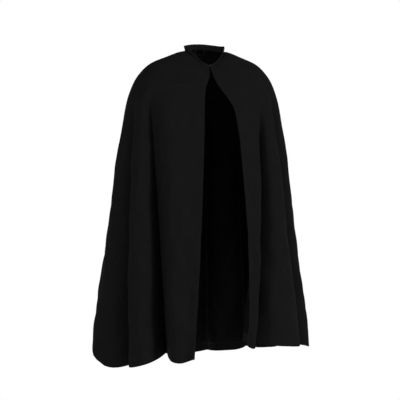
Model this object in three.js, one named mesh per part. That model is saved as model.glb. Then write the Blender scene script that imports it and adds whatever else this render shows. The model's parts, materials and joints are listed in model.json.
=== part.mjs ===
// Full-length wool cape with a stand collar, hanging open below its throat clasp.
// Millimetres, +Z up, front of the wearer towards -Y, wearer's right towards -X.
// The origin is on the neck axis at the height of the throat clasp.
import * as THREE from 'three';

// Driving dimensions of the hanging garment.
const hemHalfWidth = 419;
const hemFrontDepth = 305;
const hemBackDepth = 302;
const hemDrop = 1042;
const frontHemRaised = 3;
const backHemLowered = 38;
const neckHalfWidth = 72;
const neckFrontDepth = 68;
const neckBackDepth = 62;
const sideNeckRise = 61;
const napeRise = 71;
const foldScale = 1;

// Cloth layers, measured inwards from the outer face of the wool.
const shellThick = 1.8;
const layerGap = 0.3;
const tapeThick = 0.5;
const liningThick = 0.8;
const facingThick = 1.2;
const labelThick = 0.5;
const seamGap = 0.5;
const facingWidth = 80;
const edgeTapeWidth = 12;
const liningHemGap = 26;

// Stand collar, its clasp, the hanging loop and the label.
const collarHeight = 18;
const collarEndHeight = 9;
const collarFlare = 5;
const innerCollarTuck = 4;
const claspWire = 1.4;
const claspLength = 15;
const loopWidth = 40;
const loopDrop = 22;
const loopTape = 5;
const loopThick = 1.2;
const loopClearance = 6;
const labelWidth = 44;
const tackWidth = 1.6;

const tapeDepth = shellThick + layerGap;
const innerDepth = tapeDepth + tapeThick + layerGap;
const liningBack = innerDepth + liningThick;

// Valleys between the hanging folds: angle round the body at the neck, below the
// shoulder and at the hem (0 at centre front, growing by the wearer's right), depth at
// the hem, how far down the fold starts, where it reaches its shoulder angle, and how
// late it drifts from there to its hem angle.
const valleys = [
  { name: 'right front edge', neck: 2, shoulder: 9.3, hem: 16.6, depth: 0, start: 0.2, opens: 0.1, late: 1 },
  { name: 'right breast', neck: 40, shoulder: 58, hem: 34, depth: 125, start: 0.12, opens: 0.24, late: 0.6 },
  { name: 'right arm', neck: 66, shoulder: 78.5, hem: 60.5, depth: 130, start: 0.2, opens: 0.24, late: 1.15 },
  { name: 'right side seam', neck: 100, shoulder: 118, hem: 112, depth: 75, start: 0.25, opens: 0.24, late: 1.15 },
  { name: 'right shoulder blade', neck: 132, shoulder: 143, hem: 140, depth: 70, start: 0.2, opens: 0.24, late: 1 },
  { name: 'right of the spine', neck: 162, shoulder: 167, hem: 166, depth: 60, start: 0.3, opens: 0.24, late: 1 },
  { name: 'left of the spine', neck: 198, shoulder: 193, hem: 195, depth: 75, start: 0.22, opens: 0.24, late: 1 },
  { name: 'left shoulder blade', neck: 228, shoulder: 217, hem: 220, depth: 60, start: 0.28, opens: 0.24, late: 1 },
  { name: 'left side seam', neck: 260, shoulder: 242, hem: 247, depth: 80, start: 0.24, opens: 0.24, late: 1.15 },
  { name: 'behind the left arm', neck: 286, shoulder: 265, hem: 268, depth: 60, start: 0.3, opens: 0.24, late: 1 },
  { name: 'left arm', neck: 314, shoulder: 297.5, hem: 292.5, depth: 140, start: 0.16, opens: 0.2, late: 1 },
  { name: 'left breast', neck: 334, shoulder: 316.5, hem: 342, depth: 118, start: 0.14, opens: 0.12, late: 1.1 },
  { name: 'left front edge', neck: 358, shoulder: 343, hem: 349.8, depth: 0, start: 0.2, opens: 0.19, late: 3 },
];
const closedFall = 0.015; // the front edges stay together this far below the clasp
const lastValley = valleys.length - 1;
const rightSeam = 3;
const centreBack = 5.5;
const leftSeam = 8;

// Profiles from the neckline (fall 0) over the shoulders to the hem (fall 1):
// [fall, distance from the neck axis, height].
const sideProfile = hang([[0, neckHalfWidth, sideNeckRise], [0.03, 98, 56], [0.06, 137, 41],
  [0.125, 211, 7], [0.17, 249, -33], [0.24, 283, -107], [0.34, 307, -229]], hemHalfWidth, hemDrop);
const frontProfile = hang([[0, neckFrontDepth, 0], [0.03, 84, -20], [0.06, 101, -48],
  [0.125, 125, -110], [0.2, 148, -191], [0.4, 194, -404]], hemFrontDepth, hemDrop - frontHemRaised);
const backProfile = hang([[0, neckBackDepth, napeRise], [0.03, 84, 59], [0.06, 107, 41],
  [0.125, 143, -15], [0.2, 170, -95], [0.34, 196, -262]], hemBackDepth, hemDrop + backHemLowered);

const fallRows = [0, 0.03, 0.07, 0.125, 0.18, 0.25, 0.34, 0.46, 0.58, 0.7, 0.82, 0.92];
const columnsPerFold = 5;

function hang(knots, hemOut, drop) {
  const [fall, out, height] = knots[knots.length - 1];
  const half = (fall + 1) / 2;
  return [...knots, [half, (out + hemOut) / 2, (height - drop) / 2], [1, hemOut, -drop]];
}

// Smooth curve through the knots of a profile.
function along(knots, fall) {
  const slope = (i, k) => {
    const d = (a, b) => (knots[b][k] - knots[a][k]) / (knots[b][0] - knots[a][0]);
    if (i === 0) return d(0, 1);
    if (i === knots.length - 1) return d(i - 1, i);
    const h0 = knots[i][0] - knots[i - 1][0];
    const h1 = knots[i + 1][0] - knots[i][0];
    return (d(i, i + 1) * h0 + d(i - 1, i) * h1) / (h0 + h1);
  };
  let i = 0;
  while (i < knots.length - 2 && fall >= knots[i + 1][0]) i++;
  const h = knots[i + 1][0] - knots[i][0];
  const t = (fall - knots[i][0]) / h;
  return [1, 2].map((k) => (2 * t ** 3 - 3 * t ** 2 + 1) * knots[i][k]
    + (t ** 3 - 2 * t ** 2 + t) * h * slope(i, k)
    + (3 * t ** 2 - 2 * t ** 3) * knots[i + 1][k]
    + (t ** 3 - t ** 2) * h * slope(i + 1, k));
}

function ease(from, to, x) {
  const t = Math.min(Math.max((x - from) / (to - from), 0), 1);
  return t * t * (3 - 2 * t);
}

function valleyAngle(k, fall) {
  const { neck, shoulder, hem, depth, opens, late } = valleys[k];
  return neck + (shoulder - neck) * ease(depth ? 0 : closedFall, opens, fall)
    + (hem - shoulder) * (Math.max(fall - 0.24, 0) / 0.76) ** late;
}

function valleyDepth(k, fall) {
  const { depth, start } = valleys[k];
  const t = Math.min(Math.max((fall - start) / (1 - start), 0), 1);
  return foldScale * depth * ease(0, 0.2, t) * t ** 0.7;
}

// Outer face of the wool. round runs from 0 at the right front edge to lastValley at
// the left one, whole numbers being valleys; fall runs from neckline to hem.
function capePoint(round, fall) {
  const k = Math.min(Math.floor(round), lastValley - 1);
  const t = round - k;
  const pinch = (k === 0 || k === lastValley - 1 ? 0.25 : 0.82) * ease(0.05, 0.45, fall);
  const lobe = t - pinch * Math.sin(2 * Math.PI * t) / (2 * Math.PI);
  const degrees = valleyAngle(k, fall) + (valleyAngle(k + 1, fall) - valleyAngle(k, fall)) * lobe;
  const turn = (-90 - degrees) * Math.PI / 180;
  const c = Math.cos(turn);
  const s = Math.sin(turn);
  const [sideOut, sideZ] = along(sideProfile, fall);
  const [endOut, endZ] = along(s < 0 ? frontProfile : backProfile, fall);
  const share = 0.5 - 0.5 * Math.cos(Math.PI * t);
  const crease = (0.5 + 0.5 * Math.cos(2 * Math.PI * t)) ** 1.2;
  const inward = crease * (valleyDepth(k, fall) * (1 - share) + valleyDepth(k + 1, fall) * share);
  const plan = new THREE.Vector2(c / sideOut, s / endOut).normalize();
  const lift = 48 * Math.exp(-(((degrees - 340) / 58) ** 2)) - 36 * Math.exp(-(((degrees - 68) / 18) ** 2))
    + 75 * Math.exp(-(((degrees - 108) / 24) ** 2)) + 8 * Math.exp(-(((degrees - 32) / 10) ** 2));
  return new THREE.Vector3(
    sideOut * c - plan.x * inward - 10 * fall,
    endOut * s - plan.y * inward,
    sideZ * c * c + endZ * s * s + lift * fall ** 2 - 18 * (1 - crease) * ease(0.5, 1, fall),
  );
}

function capeNormal(round, fall) {
  const step = 1e-3;
  const across = capePoint(Math.min(round + step, lastValley), fall)
    .sub(capePoint(Math.max(round - step, 0), fall));
  const down = capePoint(round, Math.min(fall + step, 1)).sub(capePoint(round, Math.max(fall - step, 0)));
  return across.cross(down).normalize();
}

// How far round from a front edge a strip of the given width reaches on one row.
function edgeReach(width, fall, fromLeft) {
  const place = (t) => capePoint(fromLeft ? lastValley - t : t, fall);
  const step = 0.01;
  let length = 0;
  let reach = 0;
  while (length < width && reach < 0.6) {
    length += place(reach + step).distanceTo(place(reach));
    reach += step;
  }
  return reach;
}

function columnPlaces(fall) {
  const places = [];
  const front = (left) => {
    const tape = edgeReach(Math.min(edgeTapeWidth, facingWidth / 3), fall, left);
    const facing = Math.max(edgeReach(facingWidth, fall, left), tape + 0.05);
    const list = [0, tape, facing, facing + (1 - facing) / 3, facing + (1 - facing) * 2 / 3];
    return left ? list.map((t) => lastValley - t).reverse() : list;
  };
  places.push(...front(false));
  for (let i = columnsPerFold; i <= (lastValley - 1) * columnsPerFold; i++) places.push(i / columnsPerFold);
  places.push(...front(true));
  return places;
}

// One grid for every layer, so that no two layers can cross.
const liningHemFall = 1 - liningHemGap / (hemDrop + sideNeckRise + neckHalfWidth);
const clothGrid = [...fallRows, liningHemFall, 1].map((fall) => columnPlaces(fall)
  .map((round) => ({ p: capePoint(round, fall), n: capeNormal(round, fall) })));
const lastRow = clothGrid.length - 1;
const lastColumn = clothGrid[0].length - 1;
const columnAt = (round) => Math.round(round * columnsPerFold);
const tapeColumn = 1;
const facingColumn = 2;

function gridAt(row, column) {
  const r = Math.min(Math.floor(row), lastRow - 1);
  const c = Math.min(Math.floor(column), lastColumn - 1);
  const mix = (key) => {
    const top = clothGrid[r][c][key].clone().lerp(clothGrid[r][c + 1][key], column - c);
    const low = clothGrid[r + 1][c][key].clone().lerp(clothGrid[r + 1][c + 1][key], column - c);
    return top.lerp(low, row - r);
  };
  return { p: mix('p'), n: mix('n') };
}

function steps(from, to) {
  const list = [from];
  for (let i = Math.floor(from) + 1; i < to; i++) list.push(i);
  list.push(to);
  return list;
}

// Closed solid between two nets of the same size, first net outside.
function solidBetween(outer, inner) {
  const rows = outer.length;
  const columns = outer[0].length;
  const points = [...outer.flat(), ...inner.flat()].flatMap((p) => [p.x, p.y, p.z]);
  const o = (r, c) => r * columns + c;
  const i = (r, c) => rows * columns + r * columns + c;
  const faces = [];
  const quad = (a, b, c, d) => faces.push(a, b, c, a, c, d);
  for (let r = 0; r < rows - 1; r++) {
    for (let c = 0; c < columns - 1; c++) {
      quad(o(r, c), o(r, c + 1), o(r + 1, c + 1), o(r + 1, c));
      quad(i(r, c), i(r + 1, c), i(r + 1, c + 1), i(r, c + 1));
    }
    quad(o(r, 0), o(r + 1, 0), i(r + 1, 0), i(r, 0));
    quad(o(r, columns - 1), i(r, columns - 1), i(r + 1, columns - 1), o(r + 1, columns - 1));
  }
  for (let c = 0; c < columns - 1; c++) {
    quad(o(0, c), i(0, c), i(0, c + 1), o(0, c + 1));
    quad(o(rows - 1, c), o(rows - 1, c + 1), i(rows - 1, c + 1), i(rows - 1, c));
  }
  return facingOut(points, faces);
}

function facingOut(points, faces) {
  let volume = 0;
  const at = (k) => new THREE.Vector3(points[3 * k], points[3 * k + 1], points[3 * k + 2]);
  for (let f = 0; f < faces.length; f += 3) {
    volume += at(faces[f]).dot(at(faces[f + 1]).cross(at(faces[f + 2])));
  }
  if (volume < 0) faces.reverse();
  const geometry = new THREE.BufferGeometry();
  geometry.setAttribute('position', new THREE.Float32BufferAttribute(points, 3));
  geometry.setIndex(faces);
  geometry.computeVertexNormals();
  return geometry;
}

// A cloth layer over part of the grid, drawn in from its four edges by trim.
function layer(rowFrom, rowTo, columnFrom, columnTo, depth, thick, trim = seamGap / 2) {
  const rows = steps(rowFrom, rowTo);
  const columns = steps(columnFrom, columnTo);
  const net = (off) => rows.map((row) => columns.map((column) => {
    const cellRow = Math.min(Math.floor(row), lastRow - 1);
    const cellColumn = Math.min(Math.floor(column), lastColumn - 1);
    const span = gridAt(row, cellColumn).p.distanceTo(gridAt(row, cellColumn + 1).p);
    const drop = gridAt(cellRow, column).p.distanceTo(gridAt(cellRow + 1, column).p);
    const inset = (value, first, last, size) => value + (value === first ? trim : 0) / size
      - (value === last ? trim : 0) / size;
    const place = gridAt(inset(row, rowFrom, rowTo, drop), inset(column, columnFrom, columnTo, span));
    return place.p.addScaledVector(place.n.normalize(), -off);
  }));
  return solidBetween(net(depth), net(depth + thick));
}

// A round wire along a smooth path with flat ends.
function wire(path, thick, pieces, sides = 8) {
  const curve = new THREE.CatmullRomCurve3(path.map((p) => new THREE.Vector3(...p)), false, 'centripetal');
  const frames = curve.computeFrenetFrames(pieces, false);
  const points = [];
  for (let i = 0; i <= pieces; i++) {
    const centre = curve.getPointAt(i / pieces);
    for (let j = 0; j < sides; j++) {
      const a = (j / sides) * 2 * Math.PI;
      const p = centre.clone().addScaledVector(frames.normals[i], Math.cos(a) * thick / 2)
        .addScaledVector(frames.binormals[i], Math.sin(a) * thick / 2);
      points.push(p.x, p.y, p.z);
    }
  }
  const faces = [];
  for (let i = 0; i < pieces; i++) {
    for (let j = 0; j < sides; j++) {
      const k = (j + 1) % sides;
      faces.push(i * sides + j, (i + 1) * sides + j, (i + 1) * sides + k);
      faces.push(i * sides + j, (i + 1) * sides + k, i * sides + k);
    }
  }
  for (let j = 1; j < sides - 1; j++) {
    faces.push(0, j, j + 1);
    faces.push(pieces * sides, pieces * sides + j + 1, pieces * sides + j);
  }
  return facingOut(points, faces);
}

// One layer of the stand collar, between two depths behind its outer face.
function collarLayer(depth, thick, tuck = 0) {
  const levels = tuck ? [0, 0, 1] : [0, 1];
  const net = (off) => levels.map((level, row) => clothGrid[0].map(({ p }, column) => {
    const outward = new THREE.Vector3(p.x / neckHalfWidth ** 2, p.y / neckFrontDepth ** 2, 0).normalize();
    const fromEnd = Math.min(column, lastColumn - column) / columnsPerFold;
    const height = collarEndHeight + (collarHeight - collarEndHeight) * ease(0, 1.8, fromEnd);
    return new THREE.Vector3(p.x, p.y, p.z + 2 * seamGap + level * height - (row ? 0 : tuck))
      .addScaledVector(outward, level * collarFlare * ease(0, 1.8, fromEnd) - off);
  }));
  return solidBetween(net(depth), net(depth + thick));
}

const outerCollarThick = shellThick;
const interliningThick = 0.8;
const innerCollarThick = facingThick;
const interliningDepth = outerCollarThick + layerGap;
const innerCollarDepth = interliningDepth + interliningThick + layerGap;
const collarBack = innerCollarDepth + innerCollarThick;

// The hook and the eye lie flat behind the two ends of the inner collar.
const claspDepth = -(neckFrontDepth - collarBack - layerGap - claspWire / 2 - 0.6);
const claspHeight = 2 * seamGap + collarEndHeight / 2;

function claspEye() {
  const r = claspWire;
  const end = claspLength * 0.75;
  return wire([[end - r, claspDepth + 1.4, claspHeight + 4.6], [end, claspDepth + 1.2, claspHeight + 3.4],
    [end - 1.6, claspDepth + 0.8, claspHeight + 1.9], [3, claspDepth, claspHeight + 2.2],
    [0.2, claspDepth, claspHeight + 1.2], [-0.8, claspDepth, claspHeight],
    [0.2, claspDepth, claspHeight - 1.2], [3, claspDepth, claspHeight - 2.2],
    [end - 1.6, claspDepth + 0.8, claspHeight - 1.9], [end, claspDepth + 1.2, claspHeight - 3.4],
    [end - r, claspDepth + 1.4, claspHeight - 4.6]], claspWire, 44);
}

function claspHook() {
  const end = -claspLength * 0.75;
  return wire([[end + 1.4, claspDepth + 1.4, claspHeight - 3.8], [end - 0.4, claspDepth + 1.4, claspHeight - 3.2],
    [end - 0.8, claspDepth + 1.4, claspHeight - 1.2], [end + 1.6, claspDepth + 1.2, claspHeight],
    [-4.4, claspDepth + 1.2, claspHeight], [-1.2, claspDepth + 2.3, claspHeight],
    [1.2, claspDepth + 2.1, claspHeight], [2.1, claspDepth + 0.6, claspHeight],
    [1.4, claspDepth - 0.9, claspHeight]], claspWire, 40);
}

// A flat tape bent into a U, sewn in at the nape and hanging inside.
const loopHinge = [0, neckBackDepth - collarBack - loopClearance, napeRise - 4];

function hangerLoop() {
  const half = loopWidth / 2;
  const shape = new THREE.Shape();
  shape.moveTo(-half, 0);
  shape.lineTo(-half, -loopDrop + 8);
  shape.quadraticCurveTo(-half, -loopDrop, -half + 8, -loopDrop);
  shape.lineTo(half - 8, -loopDrop);
  shape.quadraticCurveTo(half, -loopDrop, half, -loopDrop + 8);
  shape.lineTo(half, 0);
  shape.lineTo(half - loopTape, 0);
  shape.lineTo(half - loopTape, -loopDrop + 10);
  shape.quadraticCurveTo(half - loopTape, -loopDrop + loopTape, half - 10, -loopDrop + loopTape);
  shape.lineTo(-half + 10, -loopDrop + loopTape);
  shape.quadraticCurveTo(-half + loopTape, -loopDrop + loopTape, -half + loopTape, -loopDrop + 10);
  shape.lineTo(-half + loopTape, 0);
  shape.closePath();
  const geometry = new THREE.ExtrudeGeometry(shape, { depth: loopThick, bevelEnabled: false, curveSegments: 4 });
  geometry.rotateX(Math.PI / 2);
  geometry.translate(0, loopHinge[1] + loopThick / 2, loopHinge[2]);
  return geometry;
}

// A twisted thread chain from the lining hem down to the turned-up wool hem.
function swingTack(round) {
  const column = columnAt(round);
  const top = gridAt(lastRow - 1, column);
  const low = gridAt(lastRow - 0.25, column);
  const a = top.p.clone().addScaledVector(top.n, -innerDepth - liningThick / 2);
  const b = low.p.clone().addScaledVector(low.n, -tapeDepth - tackWidth - layerGap);
  const down = b.clone().sub(a).normalize();
  a.addScaledVector(down, 3 * seamGap);
  const mid = a.clone().lerp(b, 0.5).addScaledVector(top.n, -1.5);
  return wire([a.toArray(), mid.toArray(), b.toArray()], tackWidth, 6, 6);
}

function labelPatch() {
  const column = columnAt(centreBack);
  const rowSpan = 1.55;
  const cell = gridAt(rowSpan, column).p.distanceTo(gridAt(rowSpan, column + 1).p);
  const reach = labelWidth / 2 / cell;
  return layer(1.1, 1.9, column - reach, column + reach, liningBack + layerGap, labelThick, 0);
}

const wool = { color: '#161617', roughness: 0.95, metalness: 0 };
const satin = { color: '#0b0b0c', roughness: 0.45, metalness: 0 };
const tape = { color: '#111112', roughness: 0.85, metalness: 0 };
const metal = { color: '#1b1b1c', roughness: 0.35, metalness: 0.9 };
const lead = { color: '#5d6064', roughness: 0.6, metalness: 0.8 };
const canvas = { color: '#c9c2b2', roughness: 0.9, metalness: 0 };

const cape = new THREE.Group();
cape.name = 'cape';

function add(name, geometry, look) {
  const mesh = new THREE.Mesh(geometry, new THREE.MeshStandardMaterial(look));
  mesh.name = name;
  cape.add(mesh);
}

const rightSeamColumn = columnAt(rightSeam);
const centreColumn = columnAt(centreBack);
const leftSeamColumn = columnAt(leftSeam);
const panels = [
  { place: 'front_right', from: 0, to: rightSeamColumn },
  { place: 'back_right', from: rightSeamColumn, to: centreColumn },
  { place: 'back_left', from: centreColumn, to: leftSeamColumn },
  { place: 'front_left', from: leftSeamColumn, to: lastColumn },
];
for (const { place, from, to } of panels) {
  add(`shell_${place}`, layer(0, lastRow, from, to, 0, shellThick), wool);
  const liningFrom = from === 0 ? facingColumn : from;
  const liningTo = to === lastColumn ? lastColumn - facingColumn : to;
  add(`lining_${place}`, layer(0, lastRow - 1, liningFrom, liningTo, innerDepth, liningThick), satin);
}
for (const [hand, from, to] of [['right', 0, facingColumn], ['left', lastColumn - facingColumn, lastColumn]]) {
  add(`facing_${hand}`, layer(0, lastRow, from, to, innerDepth, facingThick), wool);
}
for (const [hand, from, to] of [['right', 0, tapeColumn], ['left', lastColumn - tapeColumn, lastColumn]]) {
  add(`edge_tape_${hand}`, layer(0, lastRow - 1, from, to, tapeDepth, tapeThick, seamGap), tape);
}
for (const [hand, from, to] of [['right', 0, facingColumn], ['left', lastColumn - facingColumn, lastColumn]]) {
  add(`hem_weight_${hand}`, layer(lastRow - 1, lastRow, from, to, tapeDepth, tapeThick, 2), lead);
}
add('neck_stay_tape', layer(0, 0.4, rightSeamColumn, leftSeamColumn, tapeDepth, tapeThick, seamGap), tape);
add('outer_collar', collarLayer(0, outerCollarThick), wool);
add('collar_interlining', collarLayer(interliningDepth, interliningThick), canvas);
add('inner_collar', collarLayer(innerCollarDepth, innerCollarThick, innerCollarTuck), wool);
add('clasp_hook', claspHook(), metal);
add('clasp_eye', claspEye(), metal);
add('blank_label', labelPatch(), tape);
add('hanger_loop', hangerLoop(), tape);
add('swing_tack_right', swingTack(rightSeam), tape);
add('swing_tack_centre', swingTack(centreBack), tape);
add('swing_tack_left', swingTack(leftSeam), tape);

export default cape;
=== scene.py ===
import bpy
import json
import math
import numpy as np
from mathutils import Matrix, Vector


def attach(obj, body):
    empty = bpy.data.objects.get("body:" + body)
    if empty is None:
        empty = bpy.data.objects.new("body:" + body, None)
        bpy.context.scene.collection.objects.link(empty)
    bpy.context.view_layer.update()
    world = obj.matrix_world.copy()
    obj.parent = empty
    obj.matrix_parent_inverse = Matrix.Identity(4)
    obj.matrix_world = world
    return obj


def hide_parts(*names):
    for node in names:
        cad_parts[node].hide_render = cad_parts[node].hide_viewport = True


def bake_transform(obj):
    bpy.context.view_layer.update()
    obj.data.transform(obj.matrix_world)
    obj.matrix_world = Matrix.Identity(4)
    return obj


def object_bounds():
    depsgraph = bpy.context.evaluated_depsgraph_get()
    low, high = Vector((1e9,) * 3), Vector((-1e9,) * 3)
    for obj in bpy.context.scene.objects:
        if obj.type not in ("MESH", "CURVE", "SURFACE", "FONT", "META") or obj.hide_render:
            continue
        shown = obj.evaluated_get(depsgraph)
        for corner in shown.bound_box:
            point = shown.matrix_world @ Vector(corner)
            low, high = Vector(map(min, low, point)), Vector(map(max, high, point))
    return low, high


# A long black wool cape: stand collar, hook and eye, satin lining, facings and hanging loop.

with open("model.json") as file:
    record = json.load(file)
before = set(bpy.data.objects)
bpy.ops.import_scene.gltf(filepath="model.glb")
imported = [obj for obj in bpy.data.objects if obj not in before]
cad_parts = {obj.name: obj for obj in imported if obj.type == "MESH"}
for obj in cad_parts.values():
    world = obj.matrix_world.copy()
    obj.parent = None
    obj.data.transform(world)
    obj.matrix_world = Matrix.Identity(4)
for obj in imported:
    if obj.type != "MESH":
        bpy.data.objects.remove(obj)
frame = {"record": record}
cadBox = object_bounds()
scene = bpy.context.scene
mm = 0.001


# Sizes of the garment in millimetres, as it was cut and hung.
capeSizes = {
    "hemHalfWidth": 419, "hemFrontDepth": 305, "hemBackDepth": 302,
    "hemDrop": 1042, "frontHemRaised": 3, "backHemLowered": 38,
    "neckHalfWidth": 72, "neckFrontDepth": 68, "neckBackDepth": 62,
    "sideNeckRise": 61, "napeRise": 71, "overShoulder": 60,
}
clothLayers = {
    "shell": 1.8, "gap": 0.3, "tape": 0.5, "lining": 0.8, "facing": 1.2, "label": 0.5,
    "seamGap": -0.2, "turnedHem": 40, "liningAboveHem": 26, "facingWidth": 80, "edgeTapeWidth": 12,
    "edgeStitchIn": 8, "tackAboveHem": 7,
}
tapeDepth = clothLayers["shell"] + clothLayers["gap"]
innerDepth = tapeDepth + clothLayers["tape"] + clothLayers["gap"]
liningBack = innerDepth + clothLayers["lining"]
facingBack = innerDepth + clothLayers["facing"]

# Valleys between the folds: degrees round the body from centre front at the neck, below
# the shoulder and at the hem, the depth at the hem, where each one starts, where it
# reaches its shoulder angle, and how late it drifts to its hem angle.
valleyList = [
    ("right front edge", 2, 9.3, 16.6, 0, 0.2, 0.1, 1),
    ("right breast", 40, 58, 34, 125, 0.12, 0.24, 0.6),
    ("right arm", 66, 78.5, 60.5, 130, 0.2, 0.24, 1.15),
    ("right side seam", 100, 118, 112, 75, 0.25, 0.24, 1.15),
    ("right shoulder blade", 132, 143, 140, 70, 0.2, 0.24, 1),
    ("right of the spine", 162, 167, 166, 60, 0.3, 0.24, 1),
    ("left of the spine", 198, 193, 195, 75, 0.22, 0.24, 1),
    ("left shoulder blade", 228, 217, 220, 60, 0.28, 0.24, 1),
    ("left side seam", 260, 242, 247, 80, 0.24, 0.24, 1.15),
    ("behind the left arm", 286, 265, 268, 60, 0.3, 0.24, 1),
    ("left arm", 314, 297.5, 292.5, 140, 0.16, 0.2, 1),
    ("left breast", 334, 316.5, 342, 118, 0.14, 0.12, 1.1),
    ("left front edge", 358, 343, 349.8, 0, 0.2, 0.19, 3),
]
valleys = np.array([row[1:] for row in valleyList], float)
lastValley = len(valleyList) - 1
# Where the hem hangs higher or lower: millimetres, degrees round the body, half width in degrees.
hemLifts = [(48, 340, 58), (-36, 68, 18), (75, 108, 24), (8, 32, 10)]
closedFall = 0.015  # the front edges stay together this far below the clasp
rightSeam, centreBack, leftSeam = 3, 5.5, 8


def hang(knots, hemOut, drop):
    fall, out, height = knots[-1]
    half = (fall + 1) / 2
    return np.array(knots + [[half, (out + hemOut) / 2, (height - drop) / 2], [1, hemOut, -drop]], float)


s = capeSizes
# Each profile: share of the way down the cloth, millimetres out and millimetres up.
sideProfile = hang([[0, s["neckHalfWidth"], s["sideNeckRise"]], [0.03, 98, 56], [0.06, 137, 41],
                    [0.125, 211, 7], [0.17, 249, -33], [0.24, 283, -107], [0.34, 307, -229]],
                   s["hemHalfWidth"], s["hemDrop"])
frontProfile = hang([[0, s["neckFrontDepth"], 0], [0.03, 84, -20], [0.06, 101, -48],
                     [0.125, 125, -110], [0.2, 148, -191], [0.4, 194, -404]],
                    s["hemFrontDepth"], s["hemDrop"] - s["frontHemRaised"])
backProfile = hang([[0, s["neckBackDepth"], s["napeRise"]], [0.03, 84, 59], [0.06, 107, 41],
                    [0.125, 143, -15], [0.2, 170, -95], [0.34, 196, -262]],
                   s["hemBackDepth"], s["hemDrop"] + s["backHemLowered"])


def along(knots, fall):
    t, y = knots[:, 0], knots[:, 1:]
    d = (y[1:] - y[:-1]) / (t[1:] - t[:-1])[:, None]
    h = (t[1:] - t[:-1])[:, None]
    slope = np.vstack([d[:1], (d[1:] * h[:-1] + d[:-1] * h[1:]) / (h[1:] + h[:-1]), d[-1:]])
    i = np.clip(np.searchsorted(t, fall, side="right") - 1, 0, len(t) - 2)
    w = t[i + 1] - t[i]
    x = (fall - t[i]) / w
    x, w = x[..., None], w[..., None]
    p = ((2 * x**3 - 3 * x**2 + 1) * y[i] + (x**3 - 2 * x**2 + x) * w * slope[i]
         + (3 * x**2 - 2 * x**3) * y[i + 1] + (x**3 - x**2) * w * slope[i + 1])
    return p[..., 0], p[..., 1]


def ease(low, high, x):
    t = np.clip((x - low) / (high - low), 0, 1)
    return t * t * (3 - 2 * t)


def valleyAngle(k, fall):
    neck, shoulder, hem, depth, opens, late = (valleys[k, i] for i in (0, 1, 2, 3, 5, 6))
    return (neck + (shoulder - neck) * ease(np.where(depth > 0, 0, closedFall), opens, fall)
            + (hem - shoulder) * (np.maximum(fall - 0.24, 0) / 0.76) ** late)


def valleyDepth(k, fall):
    depth, start = valleys[k, 3], valleys[k, 4]
    t = np.clip((fall - start) / (1 - start), 0, 1)
    return depth * ease(0, 0.2, t) * t**0.7


def capePoint(around, fall):
    # outer face of the wool, in millimetres
    k = np.clip(np.floor(around).astype(int), 0, lastValley - 1)
    t = around - k
    pinch = np.where((k == 0) | (k == lastValley - 1), 0.25, 0.82) * ease(0.05, 0.45, fall)
    lobe = t - pinch * np.sin(2 * np.pi * t) / (2 * np.pi)
    a = valleyAngle(k, fall)
    degrees = a + (valleyAngle(k + 1, fall) - a) * lobe
    turn = np.radians(-90 - degrees)
    c, n = np.cos(turn), np.sin(turn)
    sideOut, sideZ = along(sideProfile, fall)
    frontOut, frontZ = along(frontProfile, fall)
    backOut, backZ = along(backProfile, fall)
    endOut = np.where(n < 0, frontOut, backOut)
    endZ = np.where(n < 0, frontZ, backZ)
    share = 0.5 - 0.5 * np.cos(np.pi * t)
    crease = (0.5 + 0.5 * np.cos(2 * np.pi * t)) ** 1.2
    inward = crease * (valleyDepth(k, fall) * (1 - share) + valleyDepth(k + 1, fall) * share)
    px, py = c / sideOut, n / endOut
    size = np.hypot(px, py)
    px, py = px / size, py / size
    lift = sum(rise * np.exp(-(((degrees - centre) / wide) ** 2)) for rise, centre, wide in hemLifts)
    ripple = clothRipple(around, degrees, fall)
    x = sideOut * c - px * (inward - ripple) - 10 * fall
    y = endOut * n - py * (inward - ripple)
    z = sideZ * c * c + endZ * n * n + lift * fall**2 - 18 * (1 - crease) * ease(0.5, 1, fall)
    return np.stack([x, y, z], -1)


# Soft unevenness that real cloth keeps: [size, degrees per wave, falls per wave, drift, phase]
ripples = {
    "waves": [(2.6, 23, 0.9, 14, 0.3), (1.7, 13.5, 0.55, -9, 1.7), (0.9, 8.2, 0.31, 6, 4.1)],
    # pulls under the collar: [degrees, fall, half width in degrees, half height in falls, slant, size]
    "pulls": [(34, 0.05, 22, 0.007, 0.0006, 3.8), (46, 0.07, 24, 0.008, 0.0009, -3.4),
              (30, 0.098, 20, 0.009, 0.0012, 3.2), (322, 0.065, 20, 0.009, -0.0008, 2.8),
              (206, 0.09, 40, 0.016, 0.0003, 0.9)],
}


def clothRipple(around, degrees, fall):
    out = np.zeros_like(fall)
    for size, across, down, drift, phase in ripples["waves"]:
        shifted = degrees + drift * np.sin(2 * np.pi * fall / down + phase)
        out += size * np.sin(2 * np.pi * (shifted / across) + phase) * ease(0.1, 0.75, fall)
    for centre, height, wide, tall, slant, size in ripples["pulls"]:
        line = height + slant * (degrees - centre)
        out += size * np.exp(-(((degrees - centre) / wide) ** 2) - ((fall - line) / tall) ** 2)
    return out * ease(0, 0.03, fall)


def capeNormal(around, fall):
    step = 1e-3
    across = (capePoint(np.minimum(around + step, lastValley), fall)
              - capePoint(np.maximum(around - step, 0), fall))
    down = (capePoint(around, np.minimum(fall + step, 1))
            - capePoint(around, np.maximum(fall - step, 0)))
    n = np.cross(across, down)
    return n / np.linalg.norm(n, axis=-1, keepdims=True)


fallLength = s["hemDrop"] + s["sideNeckRise"] + s["overShoulder"]
nearNeck = np.array([0.3, 0.9, 1.8, 3.2, 5, 8, 12]) / fallLength
nearHem = np.array([44, 40, 37, 33, 29, 26, 23, 18, 12, 7, 4, 2.2, 1.1, 0.4, 0]) / fallLength
innerRows = 92
rowFalls = np.concatenate([nearNeck, nearNeck[-1] + (1 - nearHem[0] - nearNeck[-1])
                           * (np.arange(1, innerRows) / innerRows) ** 1.12, 1 - nearHem])
hemDistance = (1 - rowFalls) * fallLength
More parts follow.
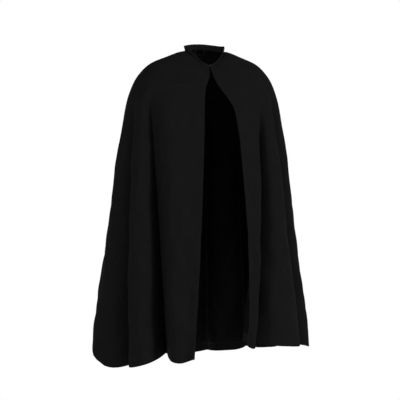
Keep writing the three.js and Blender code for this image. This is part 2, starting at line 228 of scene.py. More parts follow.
# Millimetres in from a front edge and from a seam where the cloth has a column of points.
frontRuler = np.array([0, 0.4, 1, 2.2, 4.2, 6.2, 7.3, 8, 8.7, 9.8, 12, 17, 23, 30, 38, 47, 57, 68,
                       76, 79, 80])
seamRuler = np.array([0, 0.7, 1.6, 3.2, 6])


def runLength(points, axis):
    # distance along a line or net of points, from its start
    steps = np.linalg.norm(np.diff(points, axis=axis), axis=-1)
    return np.insert(np.cumsum(steps, axis=axis), 0, 0, axis=axis)


def rulerPlaces(start, direction, ruler, fall, room):
    # places round the cape that lie these distances in from a cut edge, for every row
    fine = np.linspace(0, room, 240)
    around = np.broadcast_to(start + direction * fine, (len(fall), len(fine)))
    line = capePoint(around, np.broadcast_to(fall[:, None], around.shape))
    length = runLength(line, 1)
    places = np.empty((len(fall), len(ruler)))
    for r in range(len(fall)):
        marks = ruler
        if ruler[-1] > 40 and length[r, -1] * 0.72 < ruler[-1]:  # the facing narrows at the neck
            squeeze = (length[r, -1] * 0.72 - 12) / (ruler[-1] - 12)
            marks = np.where(ruler > 12, 12 + (ruler - 12) * squeeze, ruler)
        places[r] = start + direction * np.interp(marks, length[r], fine)
    return places


def panelPlaces(start, end, perFold=26):
    trim = clothLayers["seamGap"] / 2
    leftRuler = frontRuler if start == 0 else seamRuler + trim
    rightRuler = frontRuler if end == lastValley else seamRuler + trim
    left = rulerPlaces(start, 1, leftRuler, rowFalls, 1)
    right = rulerPlaces(end, -1, rightRuler, rowFalls, 1)[:, ::-1]
    count = int(round((end - start) * perFold)) - (14 if start == 0 or end == lastValley else 0)
    middle = left[:, -1:] + (right[:, :1] - left[:, -1:]) * (np.arange(1, count) / count)[None, :]
    return np.concatenate([left, middle, right], 1)


def netOf(places):
    falls = np.broadcast_to(rowFalls[:, None], places.shape)
    return capePoint(places, falls), capeNormal(places, falls)


def newObject(name, verts, faces):
    mesh = bpy.data.meshes.new(name)
    mesh.from_pydata(verts, [], faces)
    mesh.shade_smooth()
    obj = bpy.data.objects.new(name, mesh)
    scene.collection.objects.link(obj)
    return obj


def solidBetween(name, outer, inner):
    # closed body between two nets of points, the first one outside
    rows, columns = outer.shape[:2]
    points = np.concatenate([outer.reshape(-1, 3), inner.reshape(-1, 3)]) * mm
    o = np.arange(rows * columns).reshape(rows, columns)
    i = o + rows * columns
    faces = [np.stack([o[:-1, :-1], o[1:, :-1], o[1:, 1:], o[:-1, 1:]], -1).reshape(-1, 4),
             np.stack([i[:-1, :-1], i[:-1, 1:], i[1:, 1:], i[1:, :-1]], -1).reshape(-1, 4),
             np.stack([o[0, :-1], o[0, 1:], i[0, 1:], i[0, :-1]], -1),
             np.stack([o[-1, :-1], i[-1, :-1], i[-1, 1:], o[-1, 1:]], -1),
             np.stack([o[:-1, 0], i[:-1, 0], i[1:, 0], o[1:, 0]], -1),
             np.stack([o[:-1, -1], o[1:, -1], i[1:, -1], i[:-1, -1]], -1)]
    return newObject(name, points.tolist(), np.concatenate(faces).tolist())


def threadDirections(obj, places):
    # cloth coordinates in millimetres: round the body, and down from the neck
    rows, columns = places.shape
    net = np.array([v.co for v in obj.data.vertices])[:rows * columns].reshape(rows, columns, 3)
    across = runLength(net, 1)
    across -= across[:, columns // 2:columns // 2 + 1]
    uv = np.tile(np.stack([across, runLength(net, 0)], -1).reshape(-1, 2), (2, 1))
    layer = obj.data.uv_layers.new(name="cloth")
    loops = np.array([l.vertex_index for l in obj.data.loops])
    layer.data.foreach_set("uv", uv[loops].astype(np.float32).ravel())


def roll(distance, deep):
    # how far a cut edge rolls in towards the seam
    return deep * np.interp(distance, [0, 0.35, 0.9, 2.0, 3.6], [1, 0.5, 0.2, 0.05, 0])


def stitchDip(distance, at, deep=0.3, wide=1.5):
    return deep * np.exp(-(((distance - at) / wide) ** 2))


panels = {}
for place, start, end in [("front_right", 0, rightSeam), ("back_right", rightSeam, centreBack),
                          ("back_left", centreBack, leftSeam), ("front_left", leftSeam, lastValley)]:
    places = panelPlaces(start, end)
    points, normals = netOf(places)
    fromStart = runLength(points, 1)
    panels[place] = {"places": places, "points": points, "normals": normals,
                     "fromStart": fromStart, "fromEnd": fromStart[:, -1:] - fromStart,
                     "frontAtStart": start == 0, "frontAtEnd": end == lastValley}
print("panels cut:", {k: v["places"].shape for k, v in panels.items()})


def clothBody(name, panel, outside, inside, rows=slice(None), columns=slice(None)):
    # outside and inside are depths below the outer face of the wool
    p, n = panel["points"][rows, columns], panel["normals"][rows, columns]
    faces = [p - n * np.broadcast_to(depth, panel["places"].shape)[rows, columns, None]
             for depth in (outside, inside)]
    obj = solidBetween(name, *faces)
    threadDirections(obj, panel["places"][rows, columns])
    return obj


hemD = hemDistance[:, None]
neckD = (rowFalls * fallLength)[:, None]
frontColumns = len(frontRuler) - 1
finished = {}

for place, panel in panels.items():
    thick = clothLayers["shell"]
    a, b = panel["fromStart"], panel["fromEnd"]
    front = a if panel["frontAtStart"] else b if panel["frontAtEnd"] else np.full_like(a, 999)
    seam = b if panel["frontAtStart"] else a if panel["frontAtEnd"] else np.minimum(a, b)
    outer = (roll(front, 1.5) + roll(seam, 0.9) + roll(hemD, 1.5)
             + stitchDip(front, clothLayers["edgeStitchIn"])
             + 0.45 * roll(neckD, 1.0))
    turned = 1.5 * ease(78, 82, front) * ease(41, 38.5, hemD)
    inner = np.maximum(thick + turned - roll(hemD, 1.3 * np.minimum(turned, 1)), outer + 0.15)
    inner = np.where(front < 1.5, np.maximum(inner, thick + roll(front, 0.2)), inner)
    finished["shell_" + place] = clothBody("wool_" + place, panel, np.minimum(outer, 1.6), inner)

    # the lining hangs free of the turned hem and stops above it
    liningRows = slice(0, int(np.argmin(np.abs(hemDistance - clothLayers["liningAboveHem"]))) + 1)
    columns = (slice(frontColumns, None) if panel["frontAtStart"]
               else slice(0, -frontColumns) if panel["frontAtEnd"] else slice(None))
    slack = 0.95 * ease(70, 44, hemD)
    edge = roll(seam, 0.3) + roll(hemD - clothLayers["liningAboveHem"], 0.3)
    liningOut = innerDepth + slack + edge
    liningIn = innerDepth + clothLayers["lining"] + slack + 0.02 - edge * 0.6
    finished["lining_" + place] = clothBody("lining_" + place, panel, liningOut, liningIn,
                                            liningRows, columns)

    if panel["frontAtStart"] or panel["frontAtEnd"]:
        hand = place.split("_")[1]
        strip = slice(0, frontColumns + 1) if panel["frontAtStart"] else slice(-frontColumns - 1, None)
        toLining = np.abs((a if panel["frontAtStart"] else b)
                          - (a[:, frontColumns:frontColumns + 1] if panel["frontAtStart"]
                             else b[:, -frontColumns - 1:-frontColumns]))
        facingOut = innerDepth - roll(front, 0.8) - roll(hemD, 0.8)
        facingIn = (facingBack - roll(front, 1.5) - roll(hemD, 1.5) - roll(toLining, 0.5)
                    - stitchDip(front, clothLayers["edgeStitchIn"], 0.25))
        facingOut = np.maximum(facingOut, 2.0)
        facingIn = np.maximum(facingIn, facingOut + 0.12)
        finished["facing_" + hand] = clothBody("facing_" + hand, panel, facingOut, facingIn,
                                               slice(None), strip)
        tapeEnd = int(np.searchsorted(frontRuler, clothLayers["edgeTapeWidth"]))
        strip = slice(3, tapeEnd + 1) if panel["frontAtStart"] else slice(-tapeEnd - 1, -3)
        finished["edge_tape_" + hand] = clothBody("edge_tape_" + hand, panel, tapeDepth,
                                                  tapeDepth + clothLayers["tape"], slice(1, -16), strip)
        strip = slice(4, frontColumns) if panel["frontAtStart"] else slice(-frontColumns, -4)
        finished["hem_weight_" + hand] = clothBody("hem_weight_" + hand, panel, tapeDepth,
                                                   tapeDepth + clothLayers["tape"], slice(-10, -3), strip)
print("cloth pieces made")


collar = {"height": 18, "endHeight": 9, "flare": 5, "base": 0.5, "corner": 5, "tuck": 4,
          "outer": 1.8, "interlining": 0.8, "inner": 1.2,
          "foldLength": 45, "stitchDown": 3.5}
collarDepths = {
    "outer": (0, collar["outer"]),
    "interlining": (collar["outer"] + 0.3, collar["outer"] + 0.3 + collar["interlining"]),
    "inner": (collar["outer"] + 0.6 + collar["interlining"],
              collar["outer"] + 0.6 + collar["interlining"] + collar["inner"]),
}
collarBack = collarDepths["inner"][1]


def collarNet(levels, around, depth, tuck=0):
    # levels run up the stand, around along the neckline, depth inwards
    around = np.broadcast_to(around[None, :], depth.shape)
    base = capePoint(around, np.zeros_like(around))
    out = np.stack([base[..., 0] / s["neckHalfWidth"]**2, base[..., 1] / s["neckFrontDepth"]**2,
                    np.zeros_like(around)], -1)
    out /= np.linalg.norm(out, axis=-1, keepdims=True)
    fromEnd = np.minimum(around, lastValley - around)
    rise = ease(0, 1.8, fromEnd)
    height = collar["endHeight"] + (collar["height"] - collar["endHeight"]) * rise
    millimetres = fromEnd * collar["foldLength"]
    corner = 1 - 0.42 * np.clip(1 - millimetres / collar["corner"], 0, 1) ** 2
    level = levels[:, None] * corner
    p = base + out * (collar["flare"] * rise * level**1.4 - depth)[..., None]
    p[..., 2] += collar["base"] + level * height - tuck * np.clip(1 - levels[:, None] / 0.2, 0, 1)
    return p


def collarLayer(name, key):
    shallow, deep = collarDepths[key]
    levels = np.concatenate([[0, 0.03, 0.1], np.linspace(0.2, 0.8, 7), [0.88, 0.93, 0.965, 0.988, 1]])
    ends = np.array([0, 0.01, 0.03, 0.06, 0.11, 0.18])
    around = np.concatenate([ends, np.linspace(0.25, lastValley - 0.25, 220), lastValley - ends[::-1]])
    topD = (1 - levels[:, None]) * collar["height"]
    endD = np.minimum(around, lastValley - around)[None, :] * collar["foldLength"]
    edge = np.maximum(roll(topD, 1), roll(endD, 1))
    middle = (collarDepths["outer"][1] + collarDepths["inner"][0]) / 2
    outer = np.broadcast_to(shallow + np.zeros_like(edge), edge.shape)
    inner = np.broadcast_to(deep + np.zeros_like(edge), edge.shape)
    dip = stitchDip(topD, collar["stitchDown"], 0.2, 1.0)
    if key == "outer":
        outer = outer + edge * (middle - 0.3) + dip
        inner = inner + edge * (middle - deep - 0.05)
    elif key == "inner":
        outer = outer - edge * (shallow - middle - 0.05)
        inner = inner - edge * (deep - middle - 0.3) - dip
    else:
        levels = levels * 0.93
    tuck = collar["tuck"] if key == "inner" else 0
    return solidBetween(name, collarNet(levels, around, outer, tuck),
                        collarNet(levels, around, inner, tuck))


for node, name, key in [("outer_collar", "collar_outside", "outer"),
                        ("inner_collar", "collar_inside", "inner"),
                        ("collar_interlining", "collar_canvas", "interlining")]:
    finished[node] = collarLayer(name, key)


def smoothPath(points, count):
    # even points on a smooth curve through a few chosen ones
    p = np.array(points, float)
    q = np.vstack([2 * p[0] - p[1], p, 2 * p[-1] - p[-2]])
    out = []
    for i in range(len(p) - 1):
        a, b, c, d = q[i:i + 4]
        for t in np.linspace(0, 1, 24, endpoint=False):
            out.append(0.5 * (2 * b + (c - a) * t + (2 * a - 5 * b + 4 * c - d) * t**2
                              + (3 * b - a - 3 * c + d) * t**3))
    out.append(p[-1])
    out = np.array(out)
    length = runLength(out, 0)
    even = np.linspace(0, length[-1], count)
    return np.stack([np.interp(even, length, out[:, k]) for k in range(3)], -1)


def wire(name, points, thick, count=90, sides=16):
    line = smoothPath(points, count)
    tangent = np.gradient(line, axis=0)
    tangent /= np.linalg.norm(tangent, axis=1, keepdims=True)
    normal = np.cross(tangent[0], [0.3, 0.2, 1.0])
    verts, faces = [], []
    for i in range(count):
        normal = normal - tangent[i] * (normal @ tangent[i])
        normal /= np.linalg.norm(normal)
        side = np.cross(tangent[i], normal)
        shrink = min(1, 0.55 + 0.45 * min(i, count - 1 - i) / 1.5)  # rounded ends
        for j in range(sides):
            a = 2 * math.pi * j / sides
            verts.append((line[i] + (normal * math.cos(a) + side * math.sin(a)) * thick / 2 * shrink) * mm)
    for i in range(count - 1):
        for j in range(sides):
            k = (j + 1) % sides
            faces.append([i * sides + j, i * sides + k, (i + 1) * sides + k, (i + 1) * sides + j])
    faces.append(list(range(sides))[::-1])
    faces.append([(count - 1) * sides + j for j in range(sides)])
    return newObject(name, [tuple(v) for v in verts], faces)


clasp = {"wire": 1.4, "length": 15, "depth": -(s["neckFrontDepth"] - collarBack - 0.3 - 0.7 - 0.6),
         "height": 1 + collar["endHeight"] / 2}
y, z, r, end = clasp["depth"], clasp["height"], clasp["wire"], clasp["length"] * 0.75
finished["clasp_eye"] = wire("eye", [
    [end - r, y + 1.4, z + 4.6], [end, y + 1.2, z + 3.4], [end - 1.6, y + 0.8, z + 1.9], [3, y, z + 2.2],
    [0.2, y, z + 1.2], [-0.8, y, z], [0.2, y, z - 1.2], [3, y, z - 2.2], [end - 1.6, y + 0.8, z - 1.9],
    [end, y + 1.2, z - 3.4], [end - r, y + 1.4, z - 4.6]], r)
finished["clasp_hook"] = wire("hook", [
    [1.4 - end, y + 1.4, z - 3.8], [-end - 0.4, y + 1.4, z - 3.2], [-end - 0.8, y + 1.4, z - 1.2],
    [1.6 - end, y + 1.2, z], [-4.4, y + 1.2, z], [-1.2, y + 2.3, z], [1.2, y + 2.1, z], [2.1, y + 0.6, z],
    [1.4, y - 0.9, z]], r)

hangingLoop = {"width": 40, "drop": 22, "tape": 5, "thick": 1.2,
               "hinge": (0, s["neckBackDepth"] - collarBack - 6, s["napeRise"] - 4)}


def loopTape():
    # a strip bent into a U in its own plane, with soft edges
    half, drop, wide = hangingLoop["width"] / 2, hangingLoop["drop"], hangingLoop["tape"]
    r = 8 - wide / 2
    path = [(-half + wide / 2, -t) for t in np.linspace(0, drop - 8, 8)]
    path += [(-half + wide / 2 + r * (1 - math.cos(a)), -(drop - 8) - r * math.sin(a))
             for a in np.linspace(0, math.pi / 2, 9)[1:]]
    low = path[-1][1]
    path += [(x, low) for x in np.linspace(path[-1][0], 0, 9)[1:]]
    path += [(-x, h) for x, h in path[-2::-1]]
    path = np.array(path)
    tangent = np.gradient(path, axis=0)
    tangent /= np.linalg.norm(tangent, axis=1, keepdims=True)
    side = np.stack([-tangent[:, 1], tangent[:, 0]], -1)
    t, w = hangingLoop["thick"] / 2, wide / 2
    ring = [(-w, -t * 0.5), (-w, t * 0.5), (-w + 0.3, t), (-w + 1.2, t * 0.8), (0, t * 0.8),
            (w - 1.2, t * 0.8), (w - 0.3, t), (w, t * 0.5), (w, -t * 0.5), (w - 0.3, -t),
            (w - 1.2, -t * 0.8), (0, -t * 0.8), (-w + 1.2, -t * 0.8), (-w + 0.3, -t)]
    hx, hy, hz = hangingLoop["hinge"]
    verts, faces, m = [], [], len(ring)
    for (x, h), n in zip(path, side):
        for u, v in ring:
            verts.append(((hx + x + n[0] * u) * mm, (hy + v) * mm, (hz + h + n[1] * u) * mm))
    for i in range(len(path) - 1):
        faces += [[i * m + j, i * m + (j + 1) % m, (i + 1) * m + (j + 1) % m, (i + 1) * m + j]
                  for j in range(m)]
    faces.append(list(range(m))[::-1])
    faces.append([(len(path) - 1) * m + j for j in range(m)])
    return newObject("loop_tape", verts, faces)


def outwards(obj):
    # turn a closed body's faces out
    mesh = obj.data
    mesh.calc_loop_triangles()
    co = np.array([v.co for v in mesh.vertices])
    t = np.array([tri.vertices[:] for tri in mesh.loop_triangles])
    volume = np.einsum("ij,ij->i", co[t[:, 0]], np.cross(co[t[:, 1]], co[t[:, 2]])).sum()
    if volume < 0:
        mesh.flip_normals()


finished["hanger_loop"] = loopTape()

# The blank label lies on the lining under the nape.
label = {"width": 44, "top": 0.034, "bottom": 0.0505, "depth": liningBack + 0.35, "thick": 0.45}
falls = np.concatenate([[label["top"]], np.linspace(label["top"] + 0.0004, label["bottom"] - 0.0004, 16),
                        [label["bottom"]]])
mid = (label["top"] + label["bottom"]) / 2
metric = np.linalg.norm(capePoint(np.array([centreBack + 0.01]), np.array([mid]))
                        - capePoint(np.array([centreBack]), np.array([mid]))) / 0.01
reach = label["width"] / 2 / metric
places = np.broadcast_to(centreBack + np.concatenate([[-1], np.linspace(-0.985, 0.985, 30), [1]]) * reach,
                         (len(falls), 32))
fallNet = np.broadcast_to(falls[:, None], places.shape)
points, normals = capePoint(places, fallNet), capeNormal(places, fallNet)
rim = np.zeros(places.shape)
rim[0] = rim[-1] = 1
rim[:, 0] = rim[:, -1] = 1
finished["blank_label"] = solidBetween(
    "label", points - normals * (label["depth"] + 0.1 * rim)[..., None],
    points - normals * (label["depth"] + label["thick"] - 0.15 * rim)[..., None])
threadDirections(finished["blank_label"], places)

# Tape behind the back neckline, between wool and lining.
neckTape = {"top": 0.0012, "bottom": 0.0098, "fromSeam": 0.02, "rows": 8, "columns": 150}
falls = np.linspace(neckTape["top"], neckTape["bottom"], neckTape["rows"])
places = np.broadcast_to(np.linspace(rightSeam + neckTape["fromSeam"], leftSeam - neckTape["fromSeam"],
                                     neckTape["columns"]), (neckTape["rows"], neckTape["columns"]))
fallNet = np.broadcast_to(falls[:, None], places.shape)
points, normals = capePoint(places, fallNet), capeNormal(places, fallNet)
finished["neck_stay_tape"] = solidBetween("neck_tape", points - normals * (tapeDepth + 0.1),
                                          points - normals * (tapeDepth + clothLayers["tape"]))
threadDirections(finished["neck_stay_tape"], places)
print("collar and small pieces made")


def addNode(tree, kind, settings=None, links=None):
    # one node with its settings, and links into its inputs
    node = tree.nodes.new(kind)
    for key, value in (settings or {}).items():
        if key.startswith("in:"):
            name = key[3:]
            socket = node.inputs[int(name)] if name.isdigit() else node.inputs[name]
            socket.default_value = value
        else:
            setattr(node, key, value)
    for name, source in (links or {}).items():
        socket = node.inputs[int(name)] if name.isdigit() else node.inputs[name]
        tree.links.new(source, socket)
    return node


def stitchTree(name, link):
    # thread shapes at an even pitch along a line, turned to lie on the cloth
    tree = bpy.data.node_groups.new(name, "GeometryNodeTree")
    face = tree.interface
    face.new_socket("Line", in_out="INPUT", socket_type="NodeSocketGeometry")
    for size, value in [("Pitch", 3.6 * mm), ("Length", 2.6 * mm), ("Thread", 0.45 * mm)]:
        socket = face.new_socket(size, in_out="INPUT", socket_type="NodeSocketFloat")
        socket.default_value = value
    face.new_socket("Thread Material", in_out="INPUT", socket_type="NodeSocketMaterial")
    face.new_socket("Stitches", in_out="OUTPUT", socket_type="NodeSocketGeometry")
    given = addNode(tree, "NodeGroupInput")
    line = addNode(tree, "GeometryNodeMeshToCurve", links={"Mesh": given.outputs["Line"]})
    even = addNode(tree, "GeometryNodeResampleCurve", {"mode": "LENGTH"},
                   {"Curve": line.outputs["Curve"], "Length": given.outputs["Pitch"]})
    if link:
        shape = addNode(tree, "GeometryNodeMeshCircle", {"in:Vertices": 10, "in:Radius": 1.0})
        loopLine = addNode(tree, "GeometryNodeMeshToCurve", links={"Mesh": shape.outputs["Mesh"]})
        oval = addNode(tree, "GeometryNodeTransform", {"in:Scale": (1.15 * mm, 0.62 * mm, 1)},
                       {"Geometry": loopLine.outputs["Curve"]})
        section = addNode(tree, "GeometryNodeCurvePrimitiveCircle", {"in:Resolution": 6},
                          {"Radius": given.outputs["Thread"]})
        body = addNode(tree, "GeometryNodeCurveToMesh", links={
            "Curve": oval.outputs["Geometry"], "Profile Curve": section.outputs["Curve"]})
        bodyOut = body.outputs["Mesh"]
    else:
        ball = addNode(tree, "GeometryNodeMeshUVSphere",
                       {"in:Segments": 8, "in:Rings": 6, "in:Radius": 0.5})
        size = addNode(tree, "ShaderNodeCombineXYZ", links={
            "0": given.outputs["Length"], "1": given.outputs["Thread"], "2": given.outputs["Thread"]})
        stretch = addNode(tree, "GeometryNodeTransform", links={
            "Geometry": ball.outputs["Mesh"], "Scale": size.outputs["Vector"]})
        bodyOut = stretch.outputs["Geometry"]
    tangent = addNode(tree, "GeometryNodeInputTangent")
    turn = addNode(tree, "FunctionNodeAlignRotationToVector", {"axis": "X"},
                   {"Vector": tangent.outputs["Tangent"]})
    turnOut = turn.outputs["Rotation"]
    if link:  # every second link lies across the first
        index = addNode(tree, "GeometryNodeInputIndex")
        odd = addNode(tree, "ShaderNodeMath", {"operation": "MODULO", "in:1": 2.0},
                      {"0": index.outputs["Index"]})
        angle = addNode(tree, "ShaderNodeMath", {"operation": "MULTIPLY", "in:1": math.pi / 2},
                        {"0": odd.outputs["Value"]})
        spin = addNode(tree, "FunctionNodeAxisAngleToRotation", {"in:Axis": (1, 0, 0)},
                       {"Angle": angle.outputs["Value"]})
        both = addNode(tree, "FunctionNodeRotateRotation", {"rotation_space": "LOCAL"},
                       {"Rotation": turnOut, "Rotate By": spin.outputs["Rotation"]})
        turnOut = both.outputs["Rotation"]
    laid = addNode(tree, "GeometryNodeInstanceOnPoints", links={
        "Points": even.outputs["Curve"], "Instance": bodyOut, "Rotation": turnOut})
    real = addNode(tree, "GeometryNodeRealizeInstances", links={"Geometry": laid.outputs["Instances"]})
    smooth = addNode(tree, "GeometryNodeSetShadeSmooth", links={"Geometry": real.outputs["Geometry"]})
    coloured = addNode(tree, "GeometryNodeSetMaterial", links={
        "Geometry": smooth.outputs["Geometry"], "Material": given.outputs["Thread Material"]})
    out = addNode(tree, "NodeGroupOutput")
    tree.links.new(coloured.outputs["Geometry"], out.inputs["Stitches"])
    return tree


def stitchRun(name, points, tree, sizes, material):
    # points in millimetres along the seam; the tree turns them into thread
    mesh = bpy.data.meshes.new(name)
    mesh.from_pydata([tuple(p * mm) for p in points], [(i, i + 1) for i in range(len(points) - 1)], [])
    source = bpy.data.objects.new(name + "_line", mesh)
    scene.collection.objects.link(source)
    mod = source.modifiers.new("stitches", "NODES")
    mod.node_group = tree
    sockets = {item.name: item.identifier for item in tree.interface.items_tree if item.in_out == "INPUT"}
    for key, value in sizes.items():
        mod[sockets[key]] = value
    mod[sockets["Thread Material"]] = material
    scene.view_layers[0].update()
    evaluated = source.evaluated_get(bpy.context.evaluated_depsgraph_get())
    made = bpy.data.meshes.new_from_object(evaluated)
    made.name = name
    obj = bpy.data.objects.new(name, made)
    scene.collection.objects.link(obj)
    bpy.data.objects.remove(source, do_unlink=True)
    return obj


def linear(hexColour):
    # sRGB hex to linear colour
    rgb = [int(hexColour[i:i + 2], 16) / 255 for i in (0, 2, 4)]
    return [c / 12.92 if c <= 0.04045 else ((c + 0.055) / 1.055) ** 2.4 for c in rgb] + [1.0]


def newMaterial(name, shader):
    material = bpy.data.materials.new(name)
    material.use_nodes = True
    tree = material.node_tree
    tree.nodes.clear()
    bsdf = addNode(tree, "ShaderNodeBsdfPrincipled", shader)
    out = addNode(tree, "ShaderNodeOutputMaterial")
    tree.links.new(bsdf.outputs["BSDF"], out.inputs["Surface"])
    return material, tree, bsdf


def noiseOn(tree, scale, detail):
    where = addNode(tree, "ShaderNodeTexCoord")
    return addNode(tree, "ShaderNodeTexNoise", {"in:Scale": scale, "in:Detail": detail},
                   {"Vector": where.outputs["Object"]})


def colourRamp(tree, factor, dark, light, low=0.0):
    # colour from dark to light as the factor climbs from low to one
    ramp = addNode(tree, "ShaderNodeValToRGB", links={"Fac": factor})
    first, last = ramp.color_ramp.elements
    first.position, first.color = low, linear(dark)
    last.position, last.color = 1.0, linear(light)
    return ramp.outputs["Color"]


def clothMaterial(name, look):
    # woven or felted cloth: colour clouds, nap and thread relief, all sized in millimetres
    material, tree, bsdf = newMaterial(name, {
        "in:Roughness": look["roughness"], "in:Specular IOR Level": look["gloss"],
        "in:Sheen Weight": look["sheen"], "in:Sheen Roughness": look["sheenRoughness"],
        "in:Sheen Tint": linear(look["sheenColour"])})
    where = addNode(tree, "ShaderNodeTexCoord")
    clouds = addNode(tree, "ShaderNodeTexNoise", {"in:Scale": 1000 / look["cloudSize"], "in:Detail": 3.0,
                                                  "in:Roughness": 0.6}, {"Vector": where.outputs["Object"]})
    nap = addNode(tree, "ShaderNodeTexNoise", {"in:Scale": 1000 / look["napSize"], "in:Detail": 4.0,
                                               "in:Roughness": 0.7}, {"Vector": where.outputs["Object"]})
    mixed = addNode(tree, "ShaderNodeMath", {"operation": "MULTIPLY_ADD", "in:1": 0.3},
                    {"0": clouds.outputs["Fac"], "2": nap.outputs["Fac"]})
    colour = colourRamp(tree, mixed.outputs["Value"], look["dark"], look["light"], 0.45)
    tree.links.new(colour, bsdf.inputs["Base Color"])
    cloth = addNode(tree, "ShaderNodeUVMap", {"uv_map": "cloth"})
    twill = addNode(tree, "ShaderNodeMapping", {"in:Rotation": (0, 0, math.radians(look["twillSlant"])),
                                                "in:Scale": (1000 / look["thread"],) * 2 + (1,)},
                    {"Vector": cloth.outputs["UV"]})
    wave = addNode(tree, "ShaderNodeTexWave", {"in:Scale": 0.16, "in:Distortion": 1.2, "in:Detail": 1.0,
                                               "in:Detail Scale": 3.0}, {"Vector": twill.outputs["Vector"]})
    relief = addNode(tree, "ShaderNodeMath", {"operation": "MULTIPLY_ADD", "in:1": look["threadShare"]},
                     {"0": wave.outputs["Fac"], "2": nap.outputs["Fac"]})
    bump = addNode(tree, "ShaderNodeBump",
                   {"in:Strength": look["bump"], "in:Distance": look["relief"] * mm},
                   {"Height": relief.outputs["Value"]})
    tree.links.new(bump.outputs["Normal"], bsdf.inputs["Normal"])
    return material


# Melton: fulled wool, its weave felted over, so it scatters light and shows only a short nap.
meltonWool = clothMaterial("melton wool", {
    "dark": "050505", "light": "090909", "roughness": 0.95, "gloss": 0.008,
    "sheen": 0.004, "sheenRoughness": 0.5, "sheenColour": "9a9a9e",
    "cloudSize": 38, "napSize": 1.8, "thread": 2.2, "twillSlant": 45,
    "threadShare": 0.2, "bump": 0.7, "relief": 0.6})
# Acetate satin lining: smooth warp floats give a low, soft gloss. Its threads are drawn
# coarse enough to show.
satinLining = clothMaterial("acetate satin", {
    "dark": "030303", "light": "040404", "roughness": 0.6, "gloss": 0.012,
    "sheen": 0.0, "sheenRoughness": 0.4, "sheenColour": "606066",
    "cloudSize": 60, "napSize": 5.0, "thread": 1.2, "twillSlant": 90,
    "threadShare": 0.6, "bump": 0.15, "relief": 0.2})
# Cotton tape: plain woven, matte, a little lighter at the thread crowns.
cottonTape = clothMaterial("cotton tape", {
    "dark": "060606", "light": "0b0b0b", "roughness": 0.85, "gloss": 0.02,
    "sheen": 0.008, "sheenRoughness": 0.5, "sheenColour": "808084",
    "cloudSize": 14, "napSize": 0.9, "thread": 1.0, "twillSlant": 45,
    "threadShare": 0.7, "bump": 0.5, "relief": 0.25})
# Collar canvas: undyed stiffened weave, hidden between the collar's faces.
collarCanvas = clothMaterial("collar canvas", {
    "dark": "4a4538", "light": "6b6557", "roughness": 0.9, "gloss": 0.05,
    "sheen": 0.0, "sheenRoughness": 0.5, "sheenColour": "ffffff",
    "cloudSize": 20, "napSize": 1.2, "thread": 1.4, "twillSlant": 0,
    "threadShare": 0.8, "bump": 0.4, "relief": 0.3})


def threadMaterial():
    # polyester sewing thread: twisted, slightly shinier than the wool it sinks into
    material, tree, bsdf = newMaterial("polyester thread", {
        "in:Roughness": 0.6, "in:Specular IOR Level": 0.03, "in:Sheen Weight": 0.005})
    noise = noiseOn(tree, 900.0, 2.0)
    tree.links.new(colourRamp(tree, noise.outputs["Fac"], "060606", "0b0b0b"), bsdf.inputs["Base Color"])
    return material


def enamelMaterial():
    # black enamel baked on brass wire: glossy; scattered bright brass-coloured metallic specks at random
    # spots are painted highlights standing in for glints
    material, tree, bsdf = newMaterial("black enamel on brass", {
        "in:Specular IOR Level": 0.5, "in:Coat Weight": 0.4, "in:Coat Roughness": 0.15})
    noise = noiseOn(tree, 420.0, 3.0)
    # painted highlights: random specks turned bright brass colour and metallic
    highlightSpecks = addNode(tree, "ShaderNodeMapRange", {"in:From Min": 0.66, "in:From Max": 0.74},
                   {"Value": noise.outputs["Fac"]})
    colour = colourRamp(tree, highlightSpecks.outputs["Result"], "0c0c0d", "8a7a55")
    rough = addNode(tree, "ShaderNodeMapRange", {"in:To Min": 0.28, "in:To Max": 0.45},
                    {"Value": noise.outputs["Fac"]})
    tree.links.new(colour, bsdf.inputs["Base Color"])
    tree.links.new(highlightSpecks.outputs["Result"], bsdf.inputs["Metallic"])
    tree.links.new(rough.outputs["Result"], bsdf.inputs["Roughness"])
    return material


def weightMaterial():
    # rolled weight tape: dull grey metal with fine drag lines
    material, tree, bsdf = newMaterial("rolled weight tape", {"in:Metallic": 1.0})
    noise = noiseOn(tree, 260.0, 4.0)
    colour = colourRamp(tree, noise.outputs["Fac"], "4c4f53", "777b80")
    rough = addNode(tree, "ShaderNodeMapRange", {"in:To Min": 0.5, "in:To Max": 0.75},
                    {"Value": noise.outputs["Fac"]})
    tree.links.new(colour, bsdf.inputs["Base Color"])
    tree.links.new(rough.outputs["Result"], bsdf.inputs["Roughness"])
    return material


sewingThread, blackEnamel, weightTape = threadMaterial(), enamelMaterial(), weightMaterial()
looks = {"wool": meltonWool, "satin": satinLining, "tape": cottonTape, "canvas": collarCanvas,
         "clasp": blackEnamel, "weight": weightTape}
slotOf = {row["node"]: row["material_slot"] for row in frame["record"]["subparts"]}
for node, obj in finished.items():
    obj.data.materials.clear()
    obj.data.materials.append(looks[slotOf[node]])
    outwards(obj)
print("materials made")


edgeStitch = {"Pitch": 3.6 * mm, "Length": 2.7 * mm, "Thread": 0.5 * mm}
runTree, chainTree = stitchTree("running stitch", False), stitchTree("thread chain", True)
stitching = {}
for place in ("front_right", "front_left"):
    panel = panels[place]
    column = int(np.argmin(np.abs(frontRuler - clothLayers["edgeStitchIn"])))
    column = column if panel["frontAtStart"] else -column - 1
    hand = place.split("_")[1]
    rows = slice(5, -6)
    p, n = panel["points"][rows, column], panel["normals"][rows, column]
    for name, depth in (("edge_stitch_" + hand, 0.22), ("facing_stitch_" + hand, facingBack - 0.2)):
        stitching[name] = (stitchRun(name, p - n * depth, runTree, edgeStitch, sewingThread), hand)
around = np.linspace(0.09, lastValley - 0.09, 400)
level = np.array([1 - collar["stitchDown"] / collar["height"]])
line = collarNet(level, around, np.full((1, 400), 0.12))[0]
stitching["collar_stitch"] = (stitchRun("collar_stitch", line, runTree, edgeStitch, sewingThread), "")

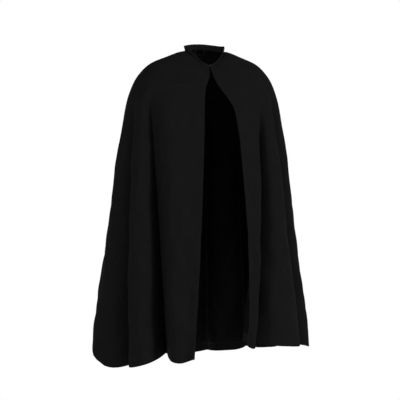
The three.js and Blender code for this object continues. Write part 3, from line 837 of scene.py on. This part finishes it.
# a square of stitches holds the label
inset = 0.94
corners = [(-1, label["top"] + 0.001), (1, label["top"] + 0.001), (1, label["bottom"] - 0.001),
           (-1, label["bottom"] - 0.001), (-1, label["top"] + 0.001)]
ring = []
for (u0, f0), (u1, f1) in zip(corners[:-1], corners[1:]):
    for t in np.linspace(0, 1, 24, endpoint=False):
        u, f = u0 + (u1 - u0) * t, f0 + (f1 - f0) * t
        a, b = np.array([centreBack + u * inset * reach]), np.array([f])
        ring.append((capePoint(a, b) - capeNormal(a, b) * (label["depth"] + label["thick"] - 0.05))[0])
stitching["label_stitch"] = (stitchRun("label_stitch", np.array(ring), runTree,
                                       {"Pitch": 2.2 * mm, "Length": 1.6 * mm, "Thread": 0.35 * mm},
                                       sewingThread), "")

# thread chains from the lining hem to the wool hem
chains = {"swing_tack_right": rightSeam, "swing_tack_centre": centreBack, "swing_tack_left": leftSeam}
for node, around in chains.items():
    liningEdge = 1 - clothLayers["liningAboveHem"] / fallLength
    woolHem = 1 - clothLayers["tackAboveHem"] / fallLength
    a = (np.array([float(around)]), np.array([liningEdge + 0.0008]))
    b = (np.array([float(around)]), np.array([woolHem]))
    top = (capePoint(*a) - capeNormal(*a) * (innerDepth + 1.3))[0]
    low = (capePoint(*b) - capeNormal(*b) * 4.2)[0]
    middle = (top + low) / 2 - capeNormal(*a)[0] * 0.8
    line = smoothPath([top, middle, low], 30)
    finished[node] = stitchRun("chain_" + node.split("_")[2], line, chainTree,
                               {"Pitch": 1.55 * mm, "Length": 2 * mm, "Thread": 0.24 * mm}, sewingThread)
print("sewing made")


bodyOf = {}
for body, nodes in frame["record"]["behaviour"]["bodies"].items():
    for node in nodes:
        bodyOf[node] = body
fronts = {"right": "front_right", "left": "front_left"}


def bendWithFront(obj):
    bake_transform(obj)


for node, obj in finished.items():
    if bodyOf[node] in fronts.values():
        bendWithFront(obj)
    else:
        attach(obj, bodyOf[node])
    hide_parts(node)
for name, (obj, hand) in stitching.items():
    if hand:
        bendWithFront(obj)
    else:
        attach(obj, "cape_back")
floorDepth = cadBox[0][2] - 0.45
bpy.ops.mesh.primitive_circle_add(vertices=96, radius=2.0, fill_type="NGON", location=(0, 0, floorDepth))
floor = bpy.context.object
floor.name = "floor"
floor.data.materials.append(newMaterial("pale floor", {
    "in:Base Color": linear("f4f4f4"), "in:Roughness": 0.9})[0])

world = bpy.data.worlds.new("studio")
scene.world = world
world.use_nodes = True
world.node_tree.nodes["Background"].inputs["Color"].default_value = (1, 1, 1, 1)
world.node_tree.nodes["Background"].inputs["Strength"].default_value = 1.0
scene.view_settings.view_transform = "Standard"


def softLight(name, place, target, size, power):
    data = bpy.data.lights.new(name, "AREA")
    data.shape, data.size, data.size_y, data.energy = "RECTANGLE", size[0], size[1], power
    obj = bpy.data.objects.new(name, data)
    scene.collection.objects.link(obj)
    obj.location = place
    obj.rotation_euler = (Vector(target) - Vector(place)).to_track_quat("-Z", "Y").to_euler()
    return obj


softLight("key", (2.05, -2.35, 0.35), (0, 0, -0.35), (0.6, 1.3), 235)
softLight("fill", (-2.5, -2.0, 0.35), (0, 0, -0.35), (0.6, 1.3), 165)
softLight("back", (0.9, 3.0, 0.35), (0, 0, -0.35), (1.6, 1.3), 280)

view = {"azimuth": -18, "distance": 6.0, "eyeHeight": -0.239, "aimHeight": -0.489,
        "aimSide": -0.015, "lens": 145.9}
turn = math.radians(view["azimuth"])
eye = Vector((math.sin(turn) * view["distance"], -math.cos(turn) * view["distance"], view["eyeHeight"]))
aim = Vector((math.cos(turn) * view["aimSide"], math.sin(turn) * view["aimSide"], view["aimHeight"]))
cameraData = bpy.data.cameras.new("camera")
cameraData.lens, cameraData.sensor_width = view["lens"], 36
camera = bpy.data.objects.new("camera", cameraData)
camera.location = eye
camera.rotation_euler = (aim - eye).to_track_quat("-Z", "Y").to_euler()
scene.collection.objects.link(camera)
scene.camera = camera
